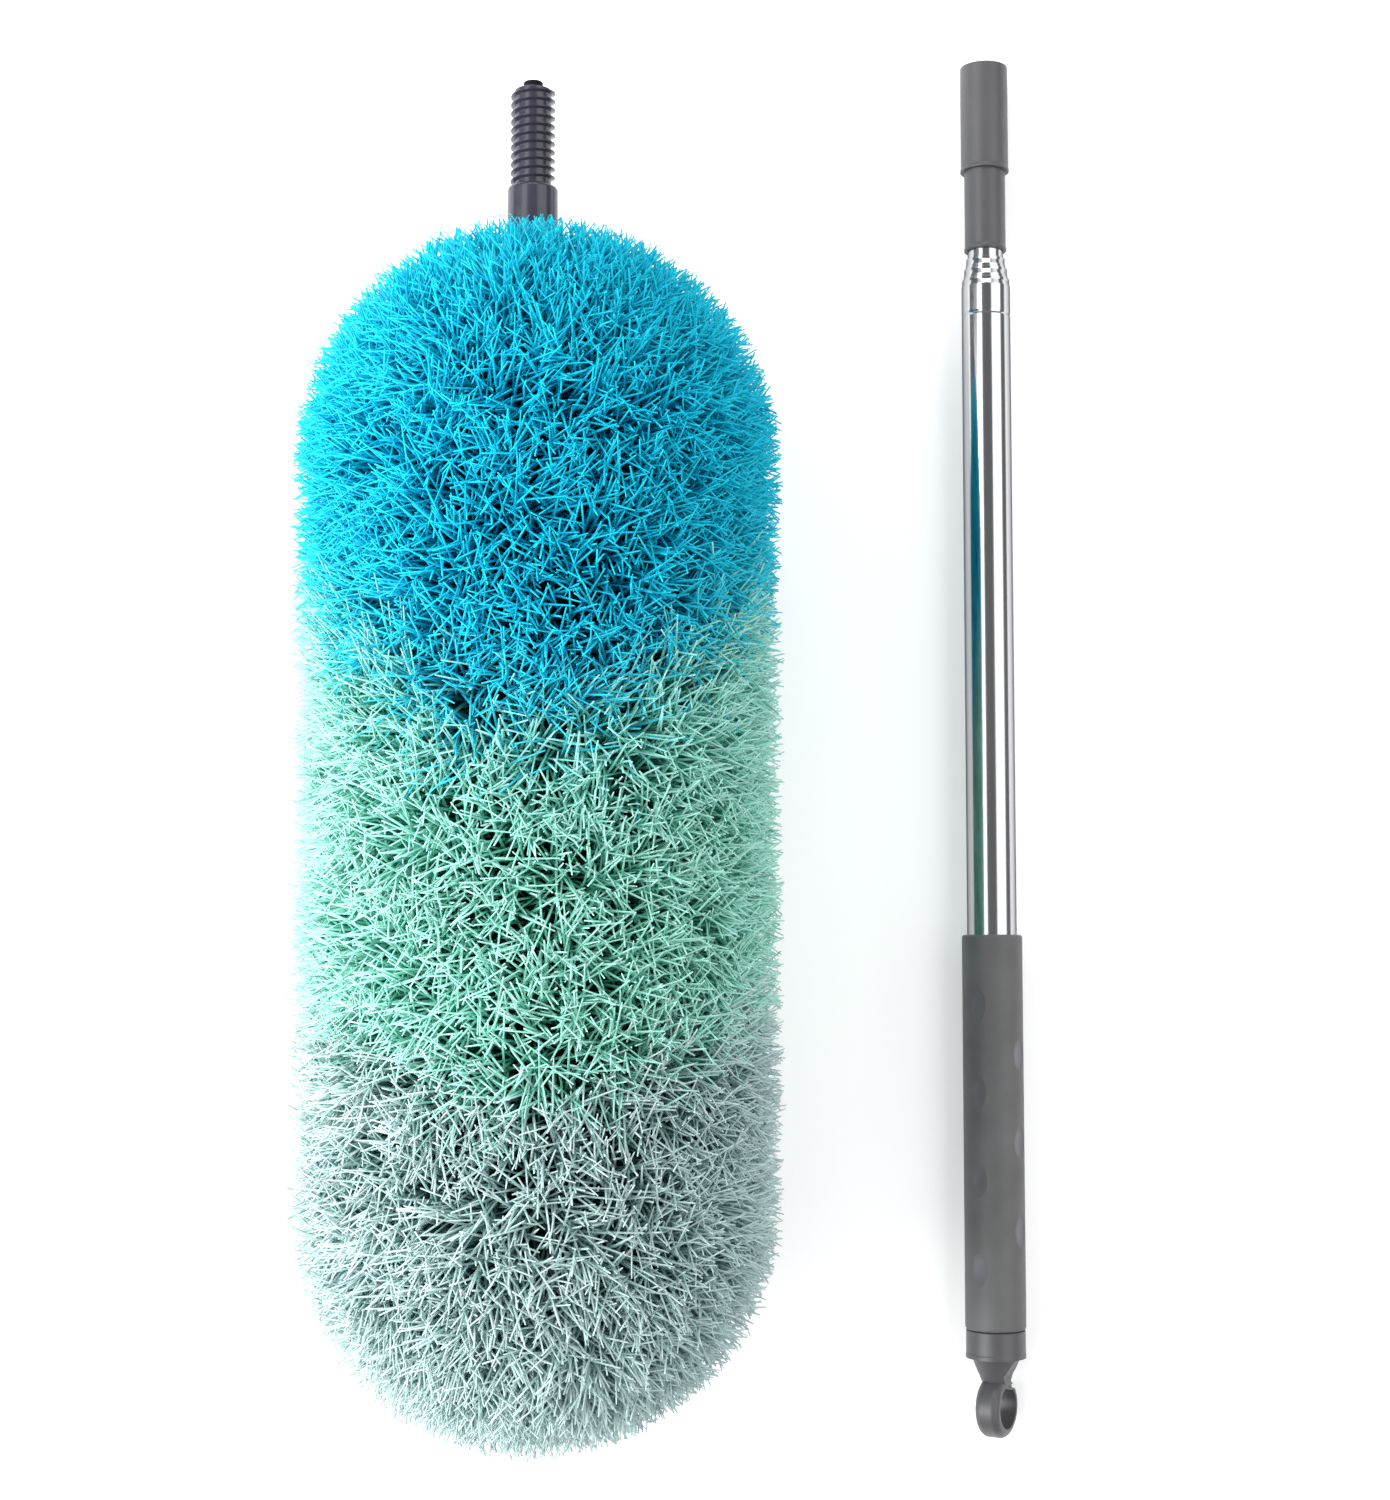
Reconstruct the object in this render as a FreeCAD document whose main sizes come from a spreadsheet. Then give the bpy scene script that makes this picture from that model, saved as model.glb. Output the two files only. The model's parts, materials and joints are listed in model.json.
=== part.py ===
import FreeCAD, Part
import math
import os
import Sketcher

# Feather duster kit: a bristle head with a threaded stem lying beside a collapsed telescopic pole.
# Frame: +Y along both axes towards the screw ends, +X from the head to the pole, +Z up.
# The origin is on the table, under the middle of the kit's bounding box.

DRIVING_DIMENSIONS = {
    # The pole as a whole
    "PoleLength": 555,
    "AxisSpacing": 178,
    # Tubes, from the outer one inwards
    "TubeDiameter": 19.8,
    "DiameterStep": 1.8,
    "TubeWall": 0.45,
    "MouthStep": 4.4,
    "MouthClearance": 0.08,
    "NeckLength": 3.2,
    "LipLength": 1.1,
    "LipProud": 0.12,
    "BeadBelowMouth": 14,
    "BeadWidth": 1.6,
    "BeadDepth": 0.25,
    "BeadFlat": 0.3,
    "LipRise": 0.3,
    "LipCorner": 0.18,
    "MouthLand": 0.5,
    "ShoulderInset": 0.4,
    # Where the outer tube's mouth and lower end are, above the pole's middle
    "MouthHeight": 188,
    "TubeFoot": -231.4,
    # Guide bushes and friction shims at the foot of each sliding tube
    "LowestFoot": -221,
    "FootGap": 1.2,
    "FlangeLength": 2,
    "ShimLength": 14,
    "BushPlugLength": 11,
    "BushWall": 1.6,
    "ShimThickness": 0.35,
    "ShimSlit": 1.5,
    "ShimMargin": 0.2,
    "FlangeGap": 0.15,
    "SlideGap": 0.05,
    "PressGap": 0.02,
    # Chamfer that leads a turned part in
    "LeadLength": 0.8,
    "LeadDepth": 0.5,
    # Grip
    "GripRadius": 12.05,
    "GripLength": 155.9,
    "GripFoot": -235.4,
    "GripCorner": 1.3,
    "DentBall": 26,
    "DentDepth": 0.8,
    "DentPitch": 34.6,
    "DentStagger": 14.7,
    "LowestDent": 24.4,
    "DentTurn": 38,
    # End plug, hang ring and clip
    "PlugFlange": 4,
    "PlugDepth": 7,
    "SpigotRadius": 3.5,
    "RunningGap": 0.06,
    "FaceGap": 0.15,
    "SpigotReach": 13.8,
    "ClipWidth": 0.8,
    "ClipRadius": 5.4,
    "ClipMouth": 4.4,
    "GrooveRadius": 2.8,
    "GrooveWidth": 0.96,
    "GrooveDrop": 2.2,
    "CollarRadius": 11.9,
    "CollarLength": 10.7,
    "CollarSeam": 0.15,
    "CollarSeamLength": 0.4,
    "CollarRim": 1.4,
    "CollarCorner": 0.2,
    "NeckRadius": 9.5,
    "NeckRoot": 1,
    "NeckFootRadius": 5.4,
    "WaistRadius": 6.8,
    "WaistLift": 0.5,
    "WedgeReach": 5,
    "WedgeGap": 0.02,
    "RingRadius": 11.8,
    "RingHole": 8.2,
    "RingThickness": 10,
    "RingEdge": 3,
    "RingSlot": 2.4,
    "SlotStart": 3.7,
    "SlotEnd": 13,
    "SlotHeight": 6.15,
    "RingTurn": 60,
    # Tip sleeve and threaded socket
    "SleeveRadius": 8.35,
    "SleeveFoot": 200.2,
    "SleeveLip": 0.25,
    "SleeveLipLength": 1,
    "SleeveCorner": 0.4,
    "SocketRadius": 9.7,
    "SocketLength": 44,
    "SocketDepth": 39.8,
    "SocketSkirt": 2.5,
    "SocketSpigot": 20,
    "SocketLip": 0.25,
    "SocketLipLength": 0.8,
    "SocketLipRun": 1,
    "SocketCorner": 0.3,
    "SocketLeadDepth": 1.3,
    "SocketLeadLength": 1.6,
    # Thread, male on the stem and female in the socket
    "ThreadRadius": 8.5,
    "RootRadius": 7.05,
    "ThreadPitch": 3.3,
    "ThreadGap": 0.2,
    "FlankGap": 0.1,
    "RidgeBase": 1.5,
    "RidgeCrest": 0.3,
    "RidgeSink": 0.15,
    "ThreadStart": 0.4,
    "FirstGroove": 2.1,
    "ThreadOverrun": 0.5,
    # Stem of the head
    "StemFoot": 165,
    "StemLength": 76.4,
    "ShankRadius": 6.2,
    "StemCollarRadius": 9.6,
    "StemCollarFoot": 17,
    "StemCollarTop": 38.7,
    "StemCollarCorner": 1.6,
    "StemCollarDraft": 0.2,
    "StemCollarTaper": 6,
    "StemTipChamfer": 0.15,
    "StemBore": 2.7,
    "FerruleRadius": 4.2,
    "FerruleLength": 23.5,
    "FerruleRoom": 0.5,
    "TipPlugRadius": 3.7,
    "TipPlugLength": 7,
    "TipPlugProud": 3.3,
    "TipPlugCorner": 0.6,
    "TipPlugFloor": 0.1,
    # Bristle head
    "HeadRadius": 90,
    "HeadAxisHeight": 85,
    "HeadTop": 188,
    "HeadBottom": -267.5,
    "StemOffset": 3,
    "BlueMintLine": 18,
    "MintPaleLine": -120,
    "BandGap": 0.3,
    "CoreBore": 5,
    "CoreRoom": 0.4,
    "CoreFootRoom": 2,
    # Twisted wire core
    "WireRadius": 1.1,
    "TwistRadius": 1.15,
    "TwistPitch": 22,
    "WireLength": 462,
    "WireFoot": -260.5,
    "EndCapRadius": 4.5,
    "EndCapLength": 12,
    "EndCapFloor": 1.3,
    "EndCapGap": 0.2,
    "EndCapCorner": 1.2,
}

POLE_X = "(Dims.HeadRadius + Dims.AxisSpacing - Dims.GripRadius) / 2"
HEAD_X = "(Dims.HeadRadius - Dims.AxisSpacing - Dims.GripRadius) / 2"
STEM_X = f"{HEAD_X} - Dims.StemOffset"
POLE_Z = "Dims.GripRadius"
HEAD_Z = "Dims.HeadAxisHeight"
RING_CENTRE = "(Dims.RingRadius - Dims.PoleLength / 2)"
TIP_TUBE_TOP = "(Dims.PoleLength / 2 - Dims.SocketLength + Dims.SocketSkirt)"
ALONG_Y = FreeCAD.Rotation(FreeCAD.Vector(1, 0, 0), -90)
TUBE_COUNT = 4
DENT_COLUMNS = 4
DENTS_IN_LONG_COLUMN = 4
TOLERANCE = 1e-4

doc = FreeCAD.newDocument("FeatherDuster")
dims = doc.addObject("Spreadsheet::Sheet", "Dims")
for row, (alias, number) in enumerate(DRIVING_DIMENSIONS.items(), start=1):
    dims.set(f"A{row}", alias)
    dims.set(f"B{row}", str(number))
    dims.setAlias(f"B{row}", alias)
doc.recompute()
subparts = []


# ---- shared steps -------------------------------------------------------------------------------

def value(expression):
    """The number that an expression of the sheet's dimensions gives now."""
    result = dims.evalExpression(expression)
    return float(getattr(result, "Value", result))


def bind(thing, **expressions):
    """Binds properties to expressions; a double underscore stands for a dot."""
    for name, expression in expressions.items():
        thing.setExpression(name.replace("__", "."), expression)


def place(thing, x, y, z):
    """Binds the thing's position to expressions."""
    bind(thing, Placement__Base__x=x, Placement__Base__y=y, Placement__Base__z=z)


def new_body(label, x, y, z):
    """An empty PartDesign body at a bound position, listed as a sub-part."""
    body = doc.addObject("PartDesign::Body", label)
    body.Label = label
    place(body, x, y, z)
    subparts.append(body)
    return body


def pole_body(label, foot):
    """A body on the pole's axis whose own zero is at foot."""
    return new_body(label, POLE_X, foot, POLE_Z)


def stem_body(label, foot):
    """A body on the stem's axis whose own zero is at foot."""
    return new_body(label, STEM_X, foot, HEAD_Z)


def sketch_on(body, role):
    """An empty sketch on one of the body's origin planes."""
    sketch = body.newObject("Sketcher::SketchObject", f"{body.Label}_sketch")
    plane = next(item for item in body.Origin.OriginFeatures if item.Role == role)
    sketch.AttachmentSupport = [(plane, "")]
    sketch.MapMode = "FlatFace"
    return sketch


def hold(sketch, constraint, geometry, expression):
    """Holds a line's start point at a bound distance from the sketch's origin."""
    index = sketch.addConstraint(
        Sketcher.Constraint(constraint, -1, 1, geometry, 1, value(expression))
    )
    sketch.setExpression(f"Constraints[{index}]", expression)


def draw_outline(sketch, corners):
    """A closed outline of straight lines; each corner is two expressions, across and along."""
    first = sketch.GeometryCount
    points = [FreeCAD.Vector(value(across), value(along), 0) for across, along in corners]
    count = len(points)
    for index in range(count):
        sketch.addGeometry(Part.LineSegment(points[index], points[(index + 1) % count]))
    for index, (across, along) in enumerate(corners):
        following = (index + 1) % count
        sketch.addConstraint(
            Sketcher.Constraint("Coincident", first + index, 2, first + following, 1)
        )
        hold(sketch, "DistanceX", first + index, across)
        hold(sketch, "DistanceY", first + index, along)


def draw_circle(sketch, radius, across="0", along="0"):
    """A circle of bound radius at a bound centre."""
    centre = FreeCAD.Vector(value(across), value(along), 0)
    circle = sketch.addGeometry(Part.Circle(centre, FreeCAD.Vector(0, 0, 1), value(radius)))
    size = sketch.addConstraint(Sketcher.Constraint("Radius", circle, value(radius)))
    sketch.setExpression(f"Constraints[{size}]", radius)
    for constraint, expression in (("DistanceX", across), ("DistanceY", along)):
        index = sketch.addConstraint(
            Sketcher.Constraint(constraint, -1, 1, circle, 3, value(expression))
        )
        sketch.setExpression(f"Constraints[{index}]", expression)


def revolve(body, corners, kind="Revolution"):
    """Turns an outline of (radius, station) corners about the body's Y axis; a Groove cuts."""
    sketch = sketch_on(body, "XY_Plane")
    draw_outline(sketch, corners)
    feature = body.newObject(f"PartDesign::{kind}", f"{body.Label}_turned")
    feature.Profile = sketch
    feature.ReferenceAxis = (sketch, ["V_Axis"])
    feature.Angle = 360
    return feature


def round_rims(body, feature, rims, radius):
    """Rounds the circular edges at the given (radius, station) places."""
    doc.recompute()
    wanted = [(value(rim_radius), value(station)) for rim_radius, station in rims]
    names = []
    for index, edge in enumerate(feature.Shape.Edges, start=1):
        curve = edge.Curve
        if not isinstance(curve, Part.Circle) or abs(abs(curve.Axis.y) - 1) > TOLERANCE:
            continue
        for rim_radius, station in wanted:
            same_radius = abs(curve.Radius - rim_radius) < TOLERANCE
            if same_radius and abs(curve.Center.y - station) < TOLERANCE:
                names.append(f"Edge{index}")
    if len(names) < len(wanted):
        raise RuntimeError(f"{body.Label}: {len(names)} of {len(wanted)} rims found")
    fillet = body.newObject("PartDesign::Fillet", f"{body.Label}_rounded")
    fillet.Base = (feature, names)
    bind(fillet, Radius=radius)
    return fillet


def cut_through(body, sketch):
    """Pockets a sketch's outline right through the body, both ways."""
    pocket = body.newObject("PartDesign::Pocket", f"{body.Label}_pocket")
    pocket.Profile = sketch
    pocket.Type = "ThroughAll"
    pocket.SideType = "Symmetric"
    return pocket


def helical(body, kind, corners, turns):
    """Runs a thread profile up the body's Y axis, adding or removing it."""
    sketch = sketch_on(body, "XY_Plane")
    draw_outline(sketch, corners)
    feature = body.newObject(f"PartDesign::{kind}Helix", f"{body.Label}_thread")
    feature.Profile = sketch
    feature.ReferenceAxis = (sketch, ["V_Axis"])
    feature.Mode = "pitch-turns-angle"
    bind(feature, Pitch="Dims.ThreadPitch", Turns=turns)
    return feature


def ridge(crest, station, room):
    """A thread ridge's outline, or its groove's when there is room on each flank."""
    low = "(Dims.RootRadius - Dims.RidgeSink)"
    base = f"(Dims.RidgeBase / 2 + {room})"
    top = f"(Dims.RidgeCrest / 2 + {room})"
    return [
        (low, f"{station} - {base}"),
        (crest, f"{station} - {top}"),
        (crest, f"{station} + {top}"),
        (low, f"{station} + {base}"),
    ]


# ---- telescopic tubes ---------------------------------------------------------------------------

def tube_radius(number):
    """Outer radius of a tube; number 1 is the outermost."""
    return f"(Dims.TubeDiameter - {number - 1} * Dims.DiameterStep) / 2"


def bore_radius(number):
    """Inner radius of a tube."""
    return f"({tube_radius(number)} - Dims.TubeWall)"


def mouth_height(number):
    """Where a tube's necked mouth ends."""
    return f"(Dims.MouthHeight + {number - 1} * Dims.MouthStep)"


def foot_height(number):
    """Lowest point of a sliding section: the flange of its guide bush."""
    stack = "(Dims.FlangeLength + Dims.ShimLength + Dims.BushPlugLength + Dims.FootGap)"
    return f"(Dims.LowestFoot + {number - 2} * {stack})"


def tube_foot(number):
    """Lower end of a tube's wall."""
    if number == 1:
        return "Dims.TubeFoot"
    return f"({foot_height(number)} + Dims.FlangeLength + Dims.ShimLength)"


def necked_tube(label, number, with_bead):
    """A thin tube whose mouth is necked onto the next tube and rolled into a small lip."""
    body = pole_body(label, tube_foot(number))
    length = f"({mouth_height(number)} - {tube_foot(number)})"
    outside = tube_radius(number)
    inside = bore_radius(number)
    mouth = f"({tube_radius(number + 1)} + Dims.MouthClearance)"
    neck = f"({mouth} + Dims.TubeWall)"
    lip_foot = f"({length} - Dims.LipLength)"
    shoulder = f"({length} - Dims.NeckLength)"
    lip = f"({neck} + Dims.LipProud)"
    corners = [(inside, "0"), (outside, "0")]
    if with_bead:
        bead = f"({length} - Dims.BeadBelowMouth)"
        corners += [
            (outside, f"{bead} - Dims.BeadWidth"),
            (f"{outside} - Dims.BeadDepth", f"{bead} - (Dims.BeadWidth + Dims.BeadFlat) / 2"),
            (f"{outside} - Dims.BeadDepth", f"{bead} - (Dims.BeadWidth - Dims.BeadFlat) / 2"),
            (outside, bead),
        ]
    corners += [
        (outside, shoulder),
        (neck, f"{lip_foot} - Dims.LipRise"),
        (lip, lip_foot),
        (lip, length),
        (mouth, length),
        (mouth, f"{lip_foot} - Dims.MouthLand"),
        (inside, f"{shoulder} - Dims.ShoulderInset"),
    ]
    turned = revolve(body, corners)
    round_rims(body, turned, [(lip, length)], "Dims.LipCorner")


def plain_tube(label, number, top):
    """The last tube: straight, with both ends open."""
    body = pole_body(label, tube_foot(number))
    length = f"({top} - {tube_foot(number)})"
    outside = tube_radius(number)
    inside = bore_radius(number)
    revolve(body, [(inside, "0"), (outside, "0"), (outside, length), (inside, length)])


def guide_bush(label, number):
    """A bush pressed into a tube's foot: plug, neck for the shims, and a flange below."""
    body = pole_body(label, foot_height(number))
    flange = f"({bore_radius(number - 1)} - Dims.FlangeGap)"
    neck = f"({tube_radius(number)} - Dims.SlideGap)"
    plug = f"({bore_radius(number)} - Dims.PressGap)"
    neck_top = "(Dims.FlangeLength + Dims.ShimLength)"
    plug_top = f"({neck_top} + Dims.BushPlugLength)"
    hollow = f"({bore_radius(number)} - Dims.BushWall)"
    corners = [
        (hollow, "0"),
        (flange, "0"),
        (flange, "Dims.FlangeLength"),
        (neck, "Dims.FlangeLength"),
        (neck, neck_top),
        (plug, neck_top),
        (plug, f"{plug_top} - Dims.LeadLength"),
        (f"{plug} - Dims.LeadDepth", plug_top),
        (hollow, plug_top),
    ]
    revolve(body, corners)
    return body


def friction_shims(label, number):
    """Two spring half shells round the bush's neck, which rub on the bore of the tube outside."""
    outside = f"({bore_radius(number - 1)} - Dims.SlideGap)"
    inside = f"({outside} - Dims.ShimThickness)"
    length = "(Dims.ShimLength - 2 * Dims.ShimMargin)"
    ring = doc.addObject("Part::Cylinder", f"{label}_outside")
    bind(ring, Radius=outside, Height=length)
    core = doc.addObject("Part::Cylinder", f"{label}_inside")
    bind(core, Radius=inside, Height=length)
    slit = doc.addObject("Part::Box", f"{label}_slit")
    bind(slit, Length=f"4 * {outside}", Width="Dims.ShimSlit", Height=length)
    bind(slit, Placement__Base__x=f"-2 * {outside}", Placement__Base__y="-Dims.ShimSlit / 2")
    removed = doc.addObject("Part::MultiFuse", f"{label}_removed")
    removed.Shapes = [core, slit]
    shells = doc.addObject("Part::Cut", label)
    shells.Label = label
    shells.Base = ring
    shells.Tool = removed
    shells.Placement.Rotation = ALONG_Y
    foot = f"{foot_height(number)} + Dims.FlangeLength + Dims.ShimMargin"
    place(shells, POLE_X, foot, POLE_Z)
    subparts.append(shells)


def sliding_section(number):
    """One sliding tube with the bush and shims at its foot."""
    if number < TUBE_COUNT:
        necked_tube(f"section_{number}_tube", number, with_bead=False)
    else:
        plain_tube(f"section_{number}_tube", number, TIP_TUBE_TOP)
    guide_bush(f"guide_bush_{number}", number)
    friction_shims(f"friction_shim_{number}", number)


# ---- grip and hang ring -------------------------------------------------------------------------

def grip_sleeve():
    """The soft grip: a thick tube with four columns of shallow dents for the fingers."""
    body = pole_body("grip_sleeve", "Dims.GripFoot")
    inside = f"({tube_radius(1)} + Dims.SlideGap)"
    outside = "Dims.GripRadius"
    length = "Dims.GripLength"
    turned = revolve(body, [(inside, "0"), (outside, "0"), (outside, length), (inside, length)])
    round_rims(body, turned, [(outside, length), (outside, "0")], "Dims.GripCorner")
    reach = "(Dims.GripRadius + Dims.DentBall - Dims.DentDepth)"
    for column in range(DENT_COLUMNS):
        angle = f"({360 * column / DENT_COLUMNS} - Dims.DentTurn)"
        staggered = column % 2
        for level in range(DENTS_IN_LONG_COLUMN - staggered):
            dent = body.newObject("PartDesign::SubtractiveSphere", f"dent_{column}_{level}")
            bind(dent, Radius="Dims.DentBall")
            station = f"Dims.LowestDent + {staggered} * Dims.DentStagger + {level} * Dims.DentPitch"
            place(dent, f"{reach} * sin({angle})", station, f"{reach} * cos({angle})")


def tube_end_plug():
    """The plug in the outer tube's foot, bored for the hang ring's spigot."""
    body = pole_body("tube_end_plug", "Dims.GripFoot")
    bore = "(Dims.SpigotRadius + Dims.RunningGap)"
    flange = f"({tube_radius(1)} - Dims.SlideGap)"
    inner = f"({bore_radius(1)} - Dims.PressGap)"
    top = "(Dims.PlugFlange + Dims.PlugDepth)"
    corners = [
        (bore, "0"),
        (flange, "0"),
        (flange, "Dims.PlugFlange"),
        (inner, "Dims.PlugFlange"),
        (inner, f"{top} - Dims.LeadLength"),
        (f"{inner} - Dims.LeadDepth", top),
        (bore, top),
    ]
    revolve(body, corners)


def hang_ring():
    """Collar, wedge-sided neck and open ring, with the spigot that turns in the end plug."""
    body = pole_body("hang_ring", RING_CENTRE)
    body.Placement.Rotation = FreeCAD.Rotation(FreeCAD.Vector(0, 1, 0), value("Dims.RingTurn"))
    bind(body, Placement__Rotation__Angle="Dims.RingTurn")
    rim = sketch_on(body, "XY_Plane")
    draw_circle(rim, "Dims.RingRadius")
    disc = body.newObject("PartDesign::Pad", "hang_ring_disc")
    disc.Profile = rim
    disc.SideType = "Symmetric"
    bind(disc, Length="Dims.RingThickness")
    doc.recompute()
    rims = [i for i, edge in enumerate(disc.Shape.Edges, start=1) if isinstance(edge.Curve, Part.Circle)]
    rounded = body.newObject("PartDesign::Fillet", "hang_ring_rounded")
    rounded.Base = (disc, [f"Edge{i}" for i in rims])
    bind(rounded, Radius="Dims.RingEdge")
    hole = sketch_on(body, "XY_Plane")
    draw_circle(hole, "Dims.RingHole")
    cut_through(body, hole)
    collar_top = f"(Dims.GripFoot - Dims.FaceGap - {RING_CENTRE})"
    collar_foot = f"({collar_top} - Dims.CollarLength)"
    waist = "(Dims.RingRadius + Dims.WaistLift)"
    seam = f"({collar_foot} + Dims.CollarRim)"
    shoulder = "(Dims.CollarRadius - Dims.CollarSeam)"
    spigot_top = f"({collar_top} + Dims.SpigotReach)"
    groove = f"({spigot_top} - Dims.GrooveDrop)"
    corners = [
        ("0", "Dims.RingHole + Dims.NeckRoot"),
        ("Dims.NeckFootRadius", "Dims.RingHole + Dims.NeckRoot"),
        ("Dims.WaistRadius", waist),
        ("Dims.NeckRadius", collar_foot),
        ("Dims.CollarRadius", collar_foot),
        ("Dims.CollarRadius", seam),
        (shoulder, f"{seam} + Dims.CollarSeamLength"),
        (shoulder, f"{collar_top} - Dims.CollarCorner"),
        (f"{shoulder} - Dims.CollarCorner", collar_top),
        ("Dims.SpigotRadius", collar_top),
        ("Dims.SpigotRadius", groove),
        ("Dims.GrooveRadius", groove),
        ("Dims.GrooveRadius", f"{groove} + Dims.GrooveWidth"),
        ("Dims.SpigotRadius", f"{groove} + Dims.GrooveWidth"),
        ("Dims.SpigotRadius", f"{spigot_top} - Dims.LeadDepth"),
        ("Dims.SpigotRadius - Dims.LeadDepth", spigot_top),
        ("0", spigot_top),
    ]
    revolve(body, corners)
    wedges = sketch_on(body, "YZ_Plane")
    half = "Dims.RingThickness / 2"
    outer = "(2 * Dims.NeckRadius)"
    for side in ("1", "-1"):
        profile = [
            (f"{waist} - Dims.WedgeReach", f"{side} * {half}"),
            (waist, f"{side} * {half}"),
            (f"{collar_foot} - Dims.WedgeGap", f"{side} * Dims.NeckRadius"),
            (f"{collar_foot} - Dims.WedgeGap", f"{side} * {outer}"),
            (f"{waist} - Dims.WedgeReach", f"{side} * {outer}"),
        ]
        draw_outline(wedges, profile)
    cut_through(body, wedges)
    slot = sketch_on(body, "XY_Plane")
    slot_top = "Dims.SlotHeight + Dims.RingSlot"
    corners = [
        ("Dims.SlotStart", "Dims.SlotHeight"),
        ("Dims.SlotEnd", "Dims.SlotHeight"),
        ("Dims.SlotEnd", slot_top),
        ("Dims.SlotStart", slot_top),
    ]
    draw_outline(slot, corners)
    cut_through(body, slot)


def retaining_clip():
    """An open clip in the spigot's groove."""
    groove = "Dims.GripFoot - Dims.FaceGap + Dims.SpigotReach - Dims.GrooveDrop"
    body = pole_body("retaining_clip", f"{groove} + (Dims.GrooveWidth - Dims.ClipWidth) / 2")
    inside = "(Dims.GrooveRadius + Dims.SlideGap)"
    corners = [
        (inside, "0"),
        ("Dims.ClipRadius", "0"),
        ("Dims.ClipRadius", "Dims.ClipWidth"),
        (inside, "Dims.ClipWidth"),
    ]
    revolve(body, corners)
    mouth = sketch_on(body, "XZ_Plane")
    half = "Dims.ClipMouth / 2"
    far = "2 * Dims.ClipRadius"
    draw_outline(mouth, [("0", f"-{half}"), (far, f"-{half}"), (far, half), ("0", half)])
    cut_through(body, mouth)


# ---- tip sleeve and socket ----------------------------------------------------------------------

def tip_sleeve():
    """The grey sleeve over the end of the last tube."""
    body = pole_body("tip_sleeve", "Dims.SleeveFoot")
    inside = f"({tube_radius(TUBE_COUNT)} + Dims.SlideGap)"
    outside = "Dims.SleeveRadius"
    length = f"({TIP_TUBE_TOP} - Dims.SleeveFoot)"
    flare = f"({outside} + Dims.SleeveLip)"
    corners = [
        (inside, "0"),
        (flare, "0"),
        (flare, "Dims.SleeveLipLength"),
        (outside, "2 * Dims.SleeveLipLength"),
        (outside, length),
        (inside, length),
    ]
    turned = revolve(body, corners)
    round_rims(body, turned, [(flare, "0")], "Dims.SleeveCorner")


def tip_socket():
    """The cap with the female thread, its skirt over the sleeve and its spigot in the tube."""
    body = pole_body("tip_socket", "Dims.PoleLength / 2 - Dims.SocketLength")
    outside = "Dims.SocketRadius"
    length = "Dims.SocketLength"
    floor = f"({length} - Dims.SocketDepth)"
    bore = "(Dims.RootRadius + Dims.ThreadGap)"
    skirt = "(Dims.SleeveRadius + Dims.SlideGap)"
    spigot = f"({bore_radius(TUBE_COUNT)} - Dims.SlideGap)"
    lip = f"({outside} + Dims.SocketLip)"
    corners = [
        ("0", "Dims.SocketSkirt - Dims.SocketSpigot"),
        (spigot, "Dims.SocketSkirt - Dims.SocketSpigot"),
        (spigot, "Dims.SocketSkirt"),
        (skirt, "Dims.SocketSkirt"),
        (skirt, "0"),
        (lip, "0"),
        (lip, "Dims.SocketLipLength"),
        (outside, "Dims.SocketLipLength + Dims.SocketLipRun"),
        (outside, length),
        (f"{bore} + Dims.SocketLeadDepth", length),
        (bore, f"{length} - Dims.SocketLeadLength"),
        (bore, floor),
        ("0", floor),
    ]
    turned = revolve(body, corners)
    round_rims(body, turned, [(lip, "0"), (outside, length)], "Dims.SocketCorner")
    start = f"({floor} + Dims.FirstGroove)"
    profile = ridge("(Dims.ThreadRadius + Dims.ThreadGap)", start, "Dims.FlankGap")
    turns = f"({length} - {start}) / Dims.ThreadPitch + Dims.ThreadOverrun"
    helical(body, "Subtractive", profile, turns)


# ---- duster head --------------------------------------------------------------------------------

def threaded_stem():
    """The hollow stem: shank in the bristles, collar, and the male thread out to its flat tip."""
    body = stem_body("threaded_stem", "Dims.StemFoot")
    length = "Dims.StemLength"
    root = "Dims.RootRadius"
    top = "Dims.StemCollarTop"
    collar = "Dims.StemCollarRadius"
    corners = [
        ("Dims.FerruleRadius + Dims.SlideGap", "0"),
        ("Dims.ShankRadius", "0"),
        ("Dims.ShankRadius", "Dims.StemCollarFoot - Dims.StemCollarTaper"),
        (f"{collar} + Dims.StemCollarDraft", "Dims.StemCollarFoot"),
        (collar, top),
        (root, top),
        (root, f"{length} - Dims.StemTipChamfer"),
        (f"{root} - Dims.StemTipChamfer", length),
        ("Dims.TipPlugRadius + Dims.SlideGap", length),
        ("Dims.TipPlugRadius + Dims.SlideGap", f"{length} - Dims.TipPlugLength"),
        ("Dims.StemBore", f"{length} - Dims.TipPlugLength"),
        ("Dims.StemBore", "Dims.FerruleLength + Dims.FerruleRoom"),
        ("Dims.FerruleRadius + Dims.SlideGap", "Dims.FerruleLength + Dims.FerruleRoom"),
    ]
    turned = revolve(body, corners)
    round_rims(body, turned, [(collar, top)], "Dims.StemCollarCorner")
    start = f"({top} + Dims.ThreadStart)"
    turns = f"({length} - {start}) / Dims.ThreadPitch + Dims.ThreadOverrun"
    helical(body, "Additive", ridge("Dims.ThreadRadius", start, "0"), turns)
    wide = "2 * Dims.ThreadRadius"
    beyond = f"{length} + 2 * Dims.ThreadPitch"
    revolve(body, [("0", length), (wide, length), (wide, beyond), ("0", beyond)], "Groove")


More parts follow.
